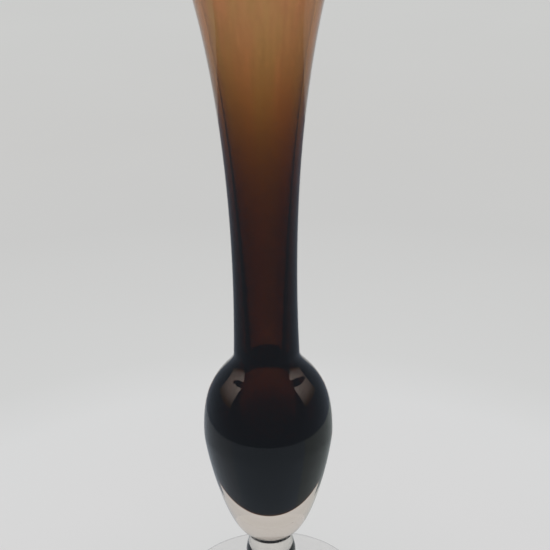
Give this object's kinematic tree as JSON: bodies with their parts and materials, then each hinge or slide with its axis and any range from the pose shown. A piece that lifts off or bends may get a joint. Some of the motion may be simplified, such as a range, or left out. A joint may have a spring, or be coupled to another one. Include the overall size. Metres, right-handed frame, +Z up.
{
  "type": "glass bud vase",
  "caption": "Tall cased-glass bud vase: brown bulb drawn into a slender trumpet neck inside a thick clear casing, on a short clear stem and a clear disc foot.",
  "frame": {"origin": "middle of the foot, on the surface that the vase stands on", "axes": "+Z up along the vase's axis, from the foot to the mouth; the vase is round, so +X and +Y are free"},
  "size_m": [0.062, 0.062, 0.236],
  "materials": {
    "clear_glass": "fire-polished",
    "brown_glass": "fire-polished"
  },
  "bodies": {
    "root": {"clear_casing": "clear_glass", "colour_liner": "brown_glass", "merese": "clear_glass", "stem": "clear_glass", "foot": "clear_glass"}
  },
  "joints": []
}
